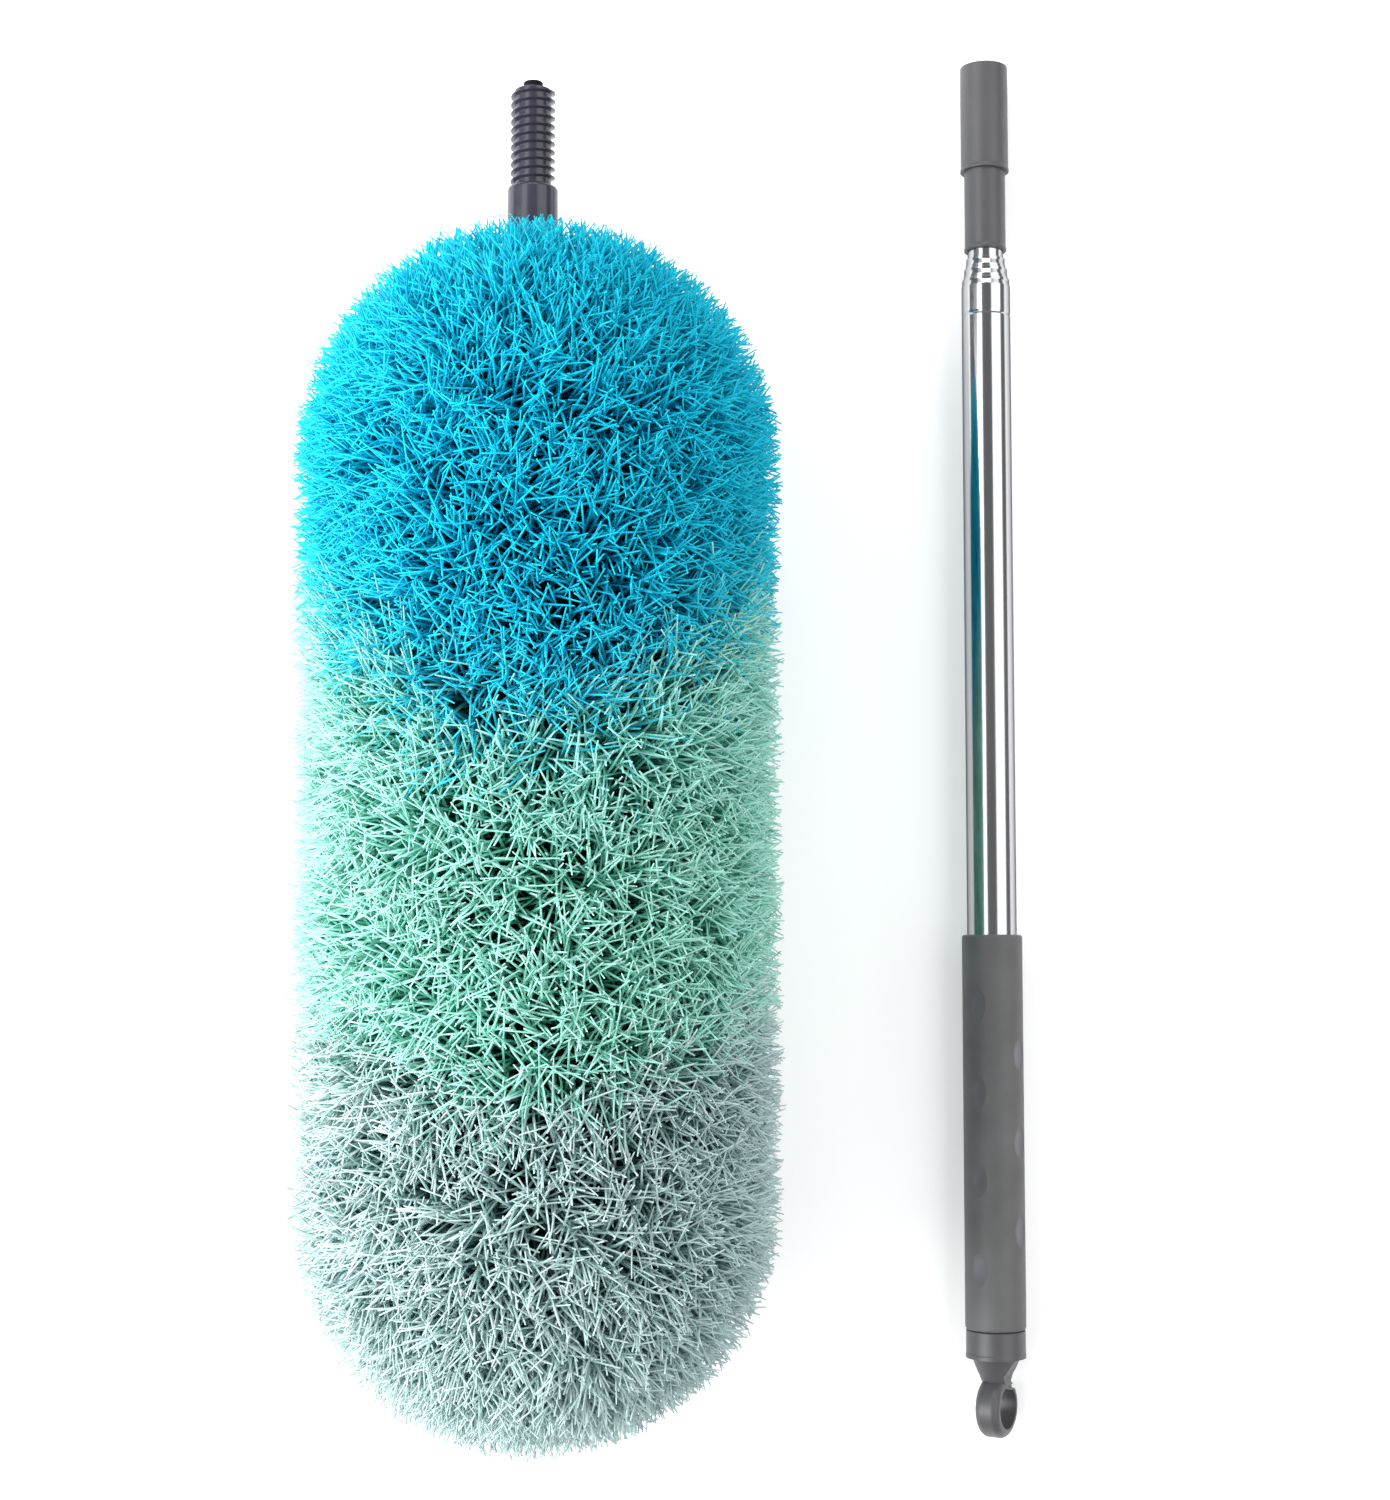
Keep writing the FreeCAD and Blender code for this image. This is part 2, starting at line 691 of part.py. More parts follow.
def stem_tip_plug():
    """The small plug that closes the stem's bore at its tip."""
    seat = "Dims.StemFoot + Dims.StemLength - Dims.TipPlugLength"
    body = stem_body("stem_tip_plug", f"{seat} + Dims.TipPlugFloor")
    radius = "Dims.TipPlugRadius"
    length = "(Dims.TipPlugLength + Dims.TipPlugProud)"
    turned = revolve(body, [("0", "0"), (radius, "0"), (radius, length), ("0", length)])
    round_rims(body, turned, [(radius, length)], "Dims.TipPlugCorner")


def core_ferrule():
    """The crimped sleeve round the wires, held in the stem's shank."""
    body = stem_body("core_ferrule", "Dims.StemFoot")
    inside = "(Dims.TwistRadius + Dims.WireRadius + 2 * Dims.SlideGap)"
    outside = "Dims.FerruleRadius"
    length = "Dims.FerruleLength"
    revolve(body, [(inside, "0"), (outside, "0"), (outside, length), (inside, length)])


def core_end_cap():
    """The blunt cap on the far end of the wires."""
    body = stem_body("core_end_cap", "Dims.WireFoot - Dims.EndCapFloor - Dims.EndCapGap")
    bore = "(Dims.TwistRadius + Dims.WireRadius + 2 * Dims.SlideGap)"
    radius = "Dims.EndCapRadius"
    length = "Dims.EndCapLength"
    floor = "Dims.EndCapFloor"
    corners = [("0", "0"), (radius, "0"), (radius, length), (bore, length), (bore, floor), ("0", floor)]
    turned = revolve(body, corners)
    round_rims(body, turned, [(radius, "0")], "Dims.EndCapCorner")


def core_wire(label, phase):
    """One of the two wires, a round rod twisted about the stem's axis."""
    helix = doc.addObject("Part::Helix", f"{label}_path")
    bind(helix, Pitch="Dims.TwistPitch", Height="Dims.WireLength", Radius="Dims.TwistRadius")
    section = doc.addObject("Part::Circle", f"{label}_section")
    bind(section, Radius="Dims.WireRadius", Placement__Base__x="Dims.TwistRadius")
    rise = math.degrees(math.atan2(value("Dims.TwistPitch"), math.tau * value("Dims.TwistRadius")))
    section.Placement.Rotation = FreeCAD.Rotation(FreeCAD.Vector(1, 0, 0), rise - 90)
    wire = doc.addObject("Part::Sweep", label)
    wire.Label = label
    wire.Sections = [section]
    wire.Spine = (helix, ["Edge1"])
    wire.Solid = True
    wire.Frenet = True
    wire.Placement.Rotation = ALONG_Y * FreeCAD.Rotation(FreeCAD.Vector(0, 0, 1), phase)
    place(wire, STEM_X, "Dims.WireFoot", HEAD_Z)
    subparts.append(wire)


def cylinder_along_y(name, radius, length, x, y, z):
    """A plain cylinder along Y, used to make the bristle bands."""
    cylinder = doc.addObject("Part::Cylinder", name)
    bind(cylinder, Radius=radius, Height=length)
    cylinder.Placement.Rotation = ALONG_Y
    place(cylinder, x, y, z)
    return cylinder


def bristle_capsule():
    """The outline of the whole head: a cylinder between two round ends."""
    radius = "Dims.HeadRadius"
    foot = f"(Dims.HeadBottom + {radius})"
    top = f"(Dims.HeadTop - {radius})"
    pieces = [cylinder_along_y("capsule_middle", radius, f"{top} - {foot}", HEAD_X, foot, HEAD_Z)]
    for name, station in (("capsule_foot", foot), ("capsule_top", top)):
        ball = doc.addObject("Part::Sphere", name)
        bind(ball, Radius=radius)
        place(ball, HEAD_X, station, HEAD_Z)
        pieces.append(ball)
    capsule = doc.addObject("Part::MultiFuse", "bristle_capsule")
    capsule.Shapes = pieces
    return capsule


def core_space():
    """The room in the bristles for the wires, the end cap and the stem."""
    foot = "(Dims.WireFoot - Dims.CoreFootRoom)"
    collar_radius = "Dims.StemCollarRadius + Dims.StemCollarDraft + Dims.CoreRoom"
    collar_foot = "Dims.StemFoot + Dims.StemCollarFoot - Dims.StemCollarTaper - Dims.CoreRoom"
    pieces = [
        cylinder_along_y("core_bore", "Dims.CoreBore", f"Dims.HeadTop - {foot}", STEM_X, foot, HEAD_Z),
        cylinder_along_y(
            "shank_bore", "Dims.ShankRadius + Dims.CoreRoom", "Dims.StemCollarFoot",
            STEM_X, "Dims.StemFoot - Dims.CoreRoom", HEAD_Z,
        ),
        cylinder_along_y("collar_bore", collar_radius, "Dims.HeadRadius", STEM_X, collar_foot, HEAD_Z),
    ]
    space = doc.addObject("Part::MultiFuse", "core_space")
    space.Shapes = pieces
    return space


def bristle_band(label, capsule, space, low, high):
    """One colour of bristles: a slice of the capsule, flat where it lies on the table."""
    slab = doc.addObject("Part::Box", f"{label}_slab")
    bind(slab, Length="2 * Dims.HeadRadius", Width=f"{high} - {low}", Height="2 * Dims.HeadRadius")
    place(slab, f"{HEAD_X} - Dims.HeadRadius", low, "0")
    slice_ = doc.addObject("Part::Common", f"{label}_slice")
    slice_.Base = capsule
    slice_.Tool = slab
    band = doc.addObject("Part::Cut", label)
    band.Label = label
    band.Base = slice_
    band.Tool = space
    subparts.append(band)


# ---- the whole kit ------------------------------------------------------------------------------

necked_tube("outer_tube", 1, with_bead=True)
for number in range(2, TUBE_COUNT + 1):
    sliding_section(number)
grip_sleeve()
tube_end_plug()
hang_ring()
retaining_clip()
tip_sleeve()
tip_socket()

threaded_stem()
stem_tip_plug()
core_ferrule()
core_end_cap()
core_wire("core_wire_a", 0)
core_wire("core_wire_b", 180)
capsule = bristle_capsule()
space = core_space()
half_gap = "Dims.BandGap / 2"
band_lines = ["Dims.HeadBottom", "Dims.MintPaleLine", "Dims.BlueMintLine", "Dims.HeadTop"]
for index, colour in enumerate(("pale", "mint", "blue")):
    low = f"({band_lines[index]} + {half_gap})"
    high = f"({band_lines[index + 1]} - {half_gap})"
    bristle_band(f"bristle_band_{colour}", capsule, space, low, high)
doc.recompute()

for item in doc.Objects:
    if "Invalid" in item.State or "Error" in item.State:
        raise RuntimeError(f"{item.Label} failed: {item.State}")
    if item.TypeId.startswith(("PartDesign::Subtractive", "PartDesign::Pocket")):
        removed = item.BaseFeature.Shape.Volume - item.Shape.Volume
        if removed <= 0:
            raise RuntimeError(f"{item.Label} removes nothing")
os.makedirs("parts", exist_ok=True)
for part in subparts:
    shape = part.Shape
    if shape.isNull() or not shape.isValid() or not shape.Solids:
        raise RuntimeError(f"{part.Label} is not a valid solid")
    shape.exportStep(f"parts/{part.Label}.step")
    print(f"{part.Label}: {len(shape.Solids)} solid(s), {shape.Volume:.0f} mm3")
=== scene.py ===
import json
import math

import bmesh
import bpy
import numpy as np
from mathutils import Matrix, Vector


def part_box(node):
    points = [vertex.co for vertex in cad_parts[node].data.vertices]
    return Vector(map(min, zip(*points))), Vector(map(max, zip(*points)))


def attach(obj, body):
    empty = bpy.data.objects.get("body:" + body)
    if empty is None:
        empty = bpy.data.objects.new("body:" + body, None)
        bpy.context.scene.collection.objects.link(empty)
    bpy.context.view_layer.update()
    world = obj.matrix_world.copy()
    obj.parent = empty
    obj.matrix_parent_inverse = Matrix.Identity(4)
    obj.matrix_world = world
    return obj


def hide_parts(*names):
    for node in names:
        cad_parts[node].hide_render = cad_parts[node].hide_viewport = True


# A feather duster kit on a pale floor: a bristle head with a threaded stem beside a collapsed
# telescopic pole. Everything is in metres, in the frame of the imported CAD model.
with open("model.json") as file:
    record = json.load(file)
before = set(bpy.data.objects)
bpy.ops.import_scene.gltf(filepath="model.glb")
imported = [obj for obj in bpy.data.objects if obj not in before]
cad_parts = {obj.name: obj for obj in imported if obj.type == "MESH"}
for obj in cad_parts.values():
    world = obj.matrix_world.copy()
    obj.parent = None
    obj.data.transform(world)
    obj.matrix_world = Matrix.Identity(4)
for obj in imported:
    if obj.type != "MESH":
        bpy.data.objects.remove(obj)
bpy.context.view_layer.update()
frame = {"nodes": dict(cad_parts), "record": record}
nodes = frame["nodes"]
scene = bpy.context.scene


# ---- places read from the frame -----------------------------------------------------------------

def middle(node):
    """Centre of a CAD node's box."""
    low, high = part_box(node)
    return (low + high) / 2


HEAD_LOW, HEAD_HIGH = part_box("bristle_band_mint")
HEAD_RADIUS = (HEAD_HIGH.x - HEAD_LOW.x) / 2
HEAD_X = (HEAD_HIGH.x + HEAD_LOW.x) / 2
HEAD_Z = HEAD_HIGH.z - HEAD_RADIUS
HEAD_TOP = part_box("bristle_band_blue")[1].y
HEAD_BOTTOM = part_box("bristle_band_pale")[0].y
BLUE_MINT = HEAD_HIGH.y
MINT_PALE = HEAD_LOW.y
STEM_X = middle("threaded_stem").x
POLE = middle("grip_sleeve")


# ---- camera -------------------------------------------------------------------------------------

SENSOR_MM = 36
LENS_MM = 56.88
CAMERA_TILT = math.radians(4.5)
CAMERA_DISTANCE = 0.958
AIM_RIGHT_OF_HEAD = 0.0587
AIM_ALONG = -0.0051
NEAR_CLIP = 0.05


def add_camera():
    camera = bpy.data.objects.new("camera", bpy.data.cameras.new("camera"))
    scene.collection.objects.link(camera)
    scene.camera = camera
    camera.data.sensor_width = SENSOR_MM
    camera.data.lens = LENS_MM
    camera.data.clip_start = NEAR_CLIP
    aim = Vector((HEAD_X + AIM_RIGHT_OF_HEAD, AIM_ALONG, POLE.z))
    back = Vector((0, -math.sin(CAMERA_TILT), math.cos(CAMERA_TILT)))
    camera.location = aim + back * CAMERA_DISTANCE
    camera.rotation_euler = (CAMERA_TILT, 0, 0)


# ---- light and floor ----------------------------------------------------------------------------

WORLD_COLOUR = (0.95, 0.97, 1.0, 1)
WORLD_STRENGTH = 0.22
FLOOR_HALF = 3.0
FLOOR_COLOUR = (0.9, 0.9, 0.9)
FLOOR_GLOW = 0.3
END_BOX_TILT = math.radians(-48)


def soft_box(name, place, turn, width, length, power):
    """A rectangular lamp: it looks straight down before its turn, with its length along Y."""
    light = bpy.data.lights.new(name, "AREA")
    light.shape = "RECTANGLE"
    light.size = width
    light.size_y = length
    light.energy = power
    lamp = bpy.data.objects.new(name, light)
    scene.collection.objects.link(lamp)
    lamp.location = place
    lamp.rotation_euler = turn


def box_over_pole(name, angle, distance, along, width, length, power):
    """A soft box that faces the pole's axis from an angle off straight up, positive towards +X."""
    lean = math.radians(angle)
    place = (POLE.x + distance * math.sin(lean), along, POLE.z + distance * math.cos(lean))
    soft_box(name, place, (0, lean, 0), width, length, power)


def add_light():
    """Two boxes on the left, a broad one on the right and one past the screw ends."""
    box_over_pole("left_key", angle=-58, distance=1.7, along=-0.25, width=1.0, length=1.5, power=47)
    box_over_pole("left_strip", angle=-37, distance=1.6, along=0, width=0.6, length=2.8, power=14)
    box_over_pole("right_box", angle=42, distance=1.6, along=0, width=1.35, length=2.8, power=24)
    tilt = (END_BOX_TILT, 0, 0)
    soft_box("end_box", place=(0.05, 1.45, 1.3), turn=tilt, width=1.2, length=0.3, power=9)
    world = bpy.data.worlds.new("studio")
    scene.world = world
    world.use_nodes = True
    background = world.node_tree.nodes["Background"]
    background.inputs["Color"].default_value = WORLD_COLOUR
    background.inputs["Strength"].default_value = WORLD_STRENGTH
    scene.view_settings.view_transform = "Standard"


def add_floor():
    half = FLOOR_HALF
    mesh = bpy.data.meshes.new("floor")
    corners = [(-half, -half, 0), (half, -half, 0), (half, half, 0), (-half, half, 0)]
    mesh.from_pydata(corners, [], [(0, 1, 2, 3)])
    floor = bpy.data.objects.new("floor", mesh)
    scene.collection.objects.link(floor)
    paper = Shader("floor_white", FLOOR_COLOUR, roughness=0.9)
    paper.set("Emission Color", (1, 1, 1, 1))
    paper.set("Emission Strength", FLOOR_GLOW)
    mesh.materials.append(paper.material)


# ---- materials ----------------------------------------------------------------------------------

GRAIN_HEIGHT = 0.0002
# How far below the grip's full radius the dents' smoother finish and painted blue sheen begin, and
# where both are complete
DENT_STARTS = 0.0001
DENT_FULL = 0.0006
# Painted sheen: a lighter bluish colour laid into the dents in place of a reflected highlight
DENT_PAINTED_SHEEN = (0.128, 0.128, 0.165, 1)


class Shader:
    """A material with one Principled shader and short calls to add nodes to it."""

    def __init__(self, name, colour, roughness, metallic=0.0):
        self.material = bpy.data.materials.new(name)
        self.material.use_nodes = True
        self.tree = self.material.node_tree
        self.surface = self.tree.nodes["Principled BSDF"]
        self.set("Base Color", (*colour, 1))
        self.set("Roughness", roughness)
        self.set("Metallic", metallic)

    def set(self, socket, value):
        self.surface.inputs[socket].default_value = value

    def node(self, kind, operation=None, **inputs):
        """A node; an operation if it has one, and its inputs by name."""
        made = self.tree.nodes.new(kind)
        if operation:
            made.operation = operation
        for name, value in inputs.items():
            made.inputs[name.replace("_", " ")].default_value = value
        return made

    def link(self, source, target):
        self.tree.links.new(source, target)

    def feed(self, source, socket):
        self.link(source, self.surface.inputs[socket])

    def place(self):
        return self.tree.nodes.new("ShaderNodeTexCoord").outputs["Object"]

    def noise(self, scale, detail=3.0, stretch=(1, 1, 1)):
        """Noise over object coordinates, which may be scaled along each axis."""
        mapping = self.node("ShaderNodeMapping", Scale=stretch)
        self.link(self.place(), mapping.inputs["Vector"])
        made = self.node("ShaderNodeTexNoise", Scale=scale, Detail=detail)
        self.link(mapping.outputs["Vector"], made.inputs["Vector"])
        return made.outputs["Fac"]

    def ramp(self, source, *stops):
        """A colour ramp through (position, colour) stops."""
        made = self.tree.nodes.new("ShaderNodeValToRGB")
        band = made.color_ramp
        for element, (position, colour) in zip(band.elements, (stops[0], stops[-1])):
            element.position = position
            element.color = (*colour, 1)
        for position, colour in stops[1:-1]:
            band.elements.new(position).color = (*colour, 1)
        self.link(source, made.inputs["Fac"])
        return made.outputs["Color"]

    def spread(self, source, low, high):
        """Maps 0..1 to low..high."""
        made = self.node("ShaderNodeMapRange", To_Min=low, To_Max=high)
        self.link(source, made.inputs["Value"])
        return made.outputs["Result"]

    def times(self, first, second):
        made = self.node("ShaderNodeMath", "MULTIPLY")
        self.link(first, made.inputs[0])
        self.link(second, made.inputs[1])
        return made.outputs["Value"]

    def mix(self, blend, first, second, share=1.0):
        """Mixes two colours; each is a socket or a plain colour, and the share a socket or number."""
        made = self.tree.nodes.new("ShaderNodeMix")
        made.data_type = "RGBA"
        made.blend_type = blend
        for socket, given in (("A", first), ("B", second), ("Factor", share)):
            if isinstance(given, bpy.types.NodeSocket):
                self.link(given, made.inputs[socket])
            else:
                made.inputs[socket].default_value = given
        return made.outputs["Result"]

    def bump(self, source, strength, distance):
        made = self.node("ShaderNodeBump", Strength=strength, Distance=distance)
        self.link(source, made.inputs["Height"])
        self.feed(made.outputs["Normal"], "Normal")


def grey_steps(*levels):
    return [(position, (level, level, level)) for position, level in levels]


def scaled(colour, amount):
    return tuple(channel * amount for channel in colour)


def polished_steel(name):
    """Bright steel drawn along its length, with fine lines and faint smudges."""
    steel = Shader(name, (0.5, 0.5, 0.51), roughness=0.16, metallic=1.0)
    steel.set("Specular Tint", (0.22, 0.22, 0.23, 1))
    lines = steel.noise(90, detail=4, stretch=(1, 0.02, 1))
    tone = steel.ramp(lines, (0.3, (0.46, 0.46, 0.47)), (0.7, (0.55, 0.55, 0.56)))
    smudges = steel.noise(35, stretch=(1, 0.3, 1))
    steel.feed(tone, "Base Color")
    steel.feed(steel.spread(smudges, low=0.10, high=0.20), "Roughness")
    steel.bump(lines, strength=0.05, distance=GRAIN_HEIGHT)
    return steel.material


def moulded_plastic(name, colour, roughness, grain=0.12, shine=0.5):
    """Satin moulded plastic with a fine eggshell grain and slight cloudiness."""
    plastic = Shader(name, colour, roughness)
    plastic.set("Specular IOR Level", shine)
    cloud = plastic.noise(28)
    tone = plastic.ramp(cloud, (0.3, scaled(colour, 0.9)), (0.7, scaled(colour, 1.1)))
    wear = plastic.spread(plastic.noise(160, detail=2), roughness - 0.06, roughness + 0.08)
    plastic.feed(tone, "Base Color")
    plastic.feed(wear, "Roughness")
    plastic.bump(plastic.noise(2600, detail=2), strength=grain, distance=GRAIN_HEIGHT)
    return plastic.material


def below_surface(rubber, node):
    """1 where a round node's surface is sunk below its full radius, 0 at the full radius."""
    corners = np.array(nodes[node].bound_box)
    low, high = corners.min(axis=0), corners.max(axis=0)
    across = (high - low) < (high - low).max()
    radius = (high - low).min() / 2
    vector = rubber.place()
    for operation, amount in (("SUBTRACT", (low + high) / 2), ("MULTIPLY", across)):
        step = rubber.node("ShaderNodeVectorMath", operation)
        step.inputs[1].default_value = [float(part) for part in amount]
        rubber.link(vector, step.inputs[0])
        vector = step.outputs["Vector"]
    reach = rubber.node("ShaderNodeVectorMath", "LENGTH")
    rubber.link(vector, reach.inputs[0])
    starts, full = radius - DENT_STARTS, radius - DENT_FULL
    sunk = rubber.node("ShaderNodeMapRange", From_Min=starts, From_Max=full)
    rubber.link(reach.outputs["Value"], sunk.inputs["Value"])
    return sunk.outputs["Result"]


def grip_rubber(name):
    """Soft rubber with a fine grain; the finger dents are smoother, with a painted streaky blue sheen
    in their colour.
    """
    rubber = Shader(name, (0.1, 0.1, 0.102), roughness=0.55)
    dents = below_surface(rubber, "grip_sleeve")
    waves = rubber.noise(110, stretch=(1, 0.4, 1))
    streaks = rubber.ramp(waves, *grey_steps((0.38, 0), (0.66, 1)))
    cloud = rubber.ramp(rubber.noise(60), (0.3, (0.09, 0.09, 0.09)), (0.7, (0.112, 0.112, 0.114)))
    # Painted sheen: streaks of lighter blue mixed into the dents' colour
    painted_sheen = rubber.times(dents, streaks)
    rubber.feed(rubber.mix("MIX", cloud, DENT_PAINTED_SHEEN, painted_sheen), "Base Color")
    rubber.feed(rubber.spread(dents, low=0.56, high=0.4), "Roughness")
    rubber.bump(rubber.noise(2200, detail=2), strength=0.25, distance=GRAIN_HEIGHT)
    return rubber.material


MATERIALS = {
    "polished_steel": polished_steel,
    "core_steel": polished_steel,
    "shim_bronze": lambda name: moulded_plastic(name, (0.5, 0.33, 0.12), 0.35),
    "bush_plastic": lambda name: moulded_plastic(name, (0.6, 0.6, 0.58), 0.45),
    "stem_plastic": lambda name: moulded_plastic(name, (0.033, 0.031, 0.047), 0.22, grain=0.04),
    "dark_plug": lambda name: moulded_plastic(name, (0.006, 0.006, 0.007), 0.6, shine=0.1),
    "grip_rubber": grip_rubber,
    "grey_plastic": lambda name: moulded_plastic(name, (0.070, 0.069, 0.074), 0.42),
}


def dress_cad_nodes():
    """Gives each CAD node the material of its slot in the record."""
    made = {name: make(name) for name, make in MATERIALS.items()}
    for part in frame["record"]["subparts"]:
        material = made.get(part["material_slot"])
        if material is None:
            continue
        for slot in nodes[part["node"]].material_slots:
            slot.material = material


# ---- bristles: where each strand runs -----------------------------------------------------------

STRANDS = 40000
SEGMENTS = 5
GOLDEN_TURN = math.pi * (3 - math.sqrt(5))
TURN_JITTER = 0.05
# Shares of the head's radius
ROOT_REACH = 0.48
BEND_REACH = 0.74
FILL_REACH = 0.58
OUTER_REACH = (0.975, 1.022)
INNER_REACH = (0.87, 0.975)
# Share of the strands that reach the surface
OUTER_SHARE = 0.68
# Random leans, as a share of a strand's own direction
SWAY = 0.075
FLICK = 0.10
TUFT_SWAY = 0.03
TUFT_FLICK = 0.04
# How many waves of lean cross the head, and how long they are
TUFT_WAVES = 10
TUFT_LENGTHS = (0.022, 0.06)
# How far each border between bands rises at the sides, and how far it drops from there to the top
UPPER_RISE = 0.027
UPPER_DROP = 0.055
LOWER_RISE = 0.015
LOWER_DROP = 0.030
BORDER_FUZZ = 0.0065
# Mint strands near the blue band lean over it, most at the sides
FRINGE_LEAN = 0.13
FRINGE_WIDTH = 0.015
FRINGE_LOST_AT_TOP = 0.6
# Each strand wavers a little; the wave's length is in radians from root to tip
WAVE_HEIGHT = 0.0011
WAVE_LENGTHS = (2, 5)
STRAND_RADII = (0.00049, 0.00064)
# No strand ends in the stem's way, or under the floor
STEM_ROOM = 0.0115
STEM_ROOM_DEPTH = 0.03
FLOOR_ROOM = 0.0004
FLOOR_SPREAD = 0.35
random = np.random.default_rng(11)


def unit(vectors):
    return vectors / np.linalg.norm(vectors, axis=-1, keepdims=True)


def capsule_places(count):
    """Even places over a capsule: points on its centre line, and directions out from there."""
    low = HEAD_BOTTOM + HEAD_RADIUS
    high = HEAD_TOP - HEAD_RADIUS
    index = np.arange(count)
    along = HEAD_BOTTOM + (HEAD_TOP - HEAD_BOTTOM) * (index + random.random(count)) / count
    turn = index * GOLDEN_TURN + random.normal(0, TURN_JITTER, count)
    centre = np.clip(along, low, high)
    axial = (along - centre) / HEAD_RADIUS
    radial = np.sqrt(np.maximum(0, 1 - axial**2))
    out = np.stack([radial * np.sin(turn), axial, radial * np.cos(turn)], axis=1)
    base = np.stack([np.full(count, HEAD_X), centre, np.full(count, HEAD_Z)], axis=1)
    return base, out, along, turn


def band_of(along, turn):
    """0 for pale, 1 for mint and 2 for blue, and how far each strand is past the blue border."""
    facing = np.cos(turn) ** 2
    fuzz = random.normal(0, BORDER_FUZZ, len(along))
    upper = BLUE_MINT + UPPER_RISE - UPPER_DROP * facing + fuzz
    lower = MINT_PALE + LOWER_RISE - LOWER_DROP * facing + fuzz
    return np.where(along > upper, 2, np.where(along > lower, 1, 0)), along - upper


def tuft_lean(places):
    """A slowly varying push that makes neighbouring strands lean the same way."""
    lean = np.zeros_like(places)
    for _ in range(TUFT_WAVES):
        length = random.uniform(*TUFT_LENGTHS)
        wave = unit(random.normal(0, 1, 3)) * math.tau / length
        push = random.normal(0, 1, 3)
        lean += push * np.sin(places @ wave + random.uniform(0, math.tau))[:, None]
    return lean / math.sqrt(TUFT_WAVES / 2)


def strand_reach(count):
    """How far out each strand ends, as a share of the head's radius; most reach the surface."""
    outer = random.uniform(*OUTER_REACH, count)
    inner = random.uniform(*INNER_REACH, count)
    return np.where(random.random(count) < OUTER_SHARE, outer, inner)


def curve_through(root, bend, tip):
    """Points along a smooth curve from root through bend to tip."""
    steps = np.linspace(0, 1, SEGMENTS + 1)[None, :, None]
    control = (2 * bend - 0.5 * (root + tip))[:, None]
    ends = (1 - steps) ** 2 * root[:, None] + steps**2 * tip[:, None]
    return ends + 2 * steps * (1 - steps) * control, steps


def grow_strands():
    """Every strand's path: a bent line from inside the head to its surface."""
    base, out, along, turn = capsule_places(STRANDS)
    band, past_upper = band_of(along, turn)
    count = len(along)
    skin = base + HEAD_RADIUS * out
    sway = random.normal(0, SWAY, (count, 3)) + TUFT_SWAY * tuft_lean(skin)
    flick = random.normal(0, FLICK, (count, 3)) + TUFT_FLICK * tuft_lean(skin)
    near_border = np.exp(-np.abs(past_upper) / FRINGE_WIDTH)
    lift = near_border * (band == 1) * (1 - FRINGE_LOST_AT_TOP * np.cos(turn) ** 2)
    flick[:, 1] += FRINGE_LEAN * lift
    reach = strand_reach(count)[:, None]
    root = base + HEAD_RADIUS * ROOT_REACH * unit(out + sway)
    bend = base + HEAD_RADIUS * BEND_REACH * unit(out + sway)
    tip = base + HEAD_RADIUS * reach * unit(out + flick)
    path, steps = curve_through(root, bend, tip)
    each = (count, 1, 1)
    phase = steps * random.uniform(*WAVE_LENGTHS, each) + random.uniform(0, math.tau, each)
    path += WAVE_HEIGHT * steps * np.sin(phase) * unit(random.normal(0, 1, (count, 1, 3)))
    near_stem = np.hypot(tip[:, 0] - STEM_X, tip[:, 2] - HEAD_Z) < STEM_ROOM
    keep = ~(near_stem & (along > HEAD_TOP - STEM_ROOM_DEPTH))
    return path[keep], band[keep], near_border[keep]


def press_on_floor(path, radii):
    """Strands that would go through the floor lie on it, spread a little to the side."""
    floor = radii[:, None] + FLOOR_ROOM
    below = np.maximum(0, floor - path[:, :, 2])
    side = np.sign(path[:, :, 0] - HEAD_X)
    path[:, :, 0] += side * below * FLOOR_SPREAD
    path[:, :, 2] = np.maximum(path[:, :, 2], floor)


# ---- bristles: meshes and colour ----------------------------------------------------------------

SIDES = 3
SETS = 3
# Keeps a random direction off zero
OFF_ZERO = 0.001
# Share of a strand's length, then its share of the full radius there
TAPER_PLACES = (0, 0.75, 0.95, 1)
TAPER_SHARES = (1.0, 0.95, 0.85, 0.5)
UV_LAYER = "OFBake"
UV_MARGIN = 0.02
UV_SIDE_STEP = 0.004
SHADE_SPAN = 0.98
SHADE_STEP = 0.02
TINT_LAYER = "border_tint"
# The two bands that blend into each other's colour where they meet
BORDER_BANDS = ("mint", "blue")
BORDER_COLOUR = (0.10, 0.62, 0.66, 1)
BORDER_MIX = 0.55
# Band, then its painted shade deep inside, and its colour along its strands and at their tips
BANDS = (
    ("pale", (0.045, 0.17, 0.155), (0.31, 0.53, 0.51), (0.63, 0.80, 0.79)),
    ("mint", (0.03, 0.26, 0.18), (0.19, 0.68, 0.52), (0.53, 0.93, 0.83)),
    ("blue", (0.0, 0.075, 0.19), (0.0, 0.44, 0.67), (0.01, 0.68, 0.89)),
)
# Share of the head's length from its lower end, then the colour of the imported roots there, a
# painted shade with each band's tint
ROOT_SHADE_COLOURS = (
    (0.28, (0.035, 0.06, 0.06)),
    (0.34, (0.006, 0.05, 0.035)),
    (0.60, (0.006, 0.05, 0.035)),
    (0.66, (0.002, 0.02, 0.06)),
)

FILL_SEGMENTS = 64
FILL_RINGS = 48
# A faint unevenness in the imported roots, and its waves over a ball of radius 1
RIPPLE = 0.05
RIPPLE_WAVES = ((23, 9), (19, 5))


def strand_faces(rings):
    """One strand's faces: quads round each segment, and a triangle at each end."""
    quads = []
    for ring in range(rings - 1):
        for side in range(SIDES):
            a = ring * SIDES + side
            b = ring * SIDES + (side + 1) % SIDES
            quads.append([a, b, b + SIDES, a + SIDES])
    last = (rings - 1) * SIDES
    caps = [[2, 1, 0], [last, last + 1, last + 2]]
    return np.array(quads), np.array(caps)


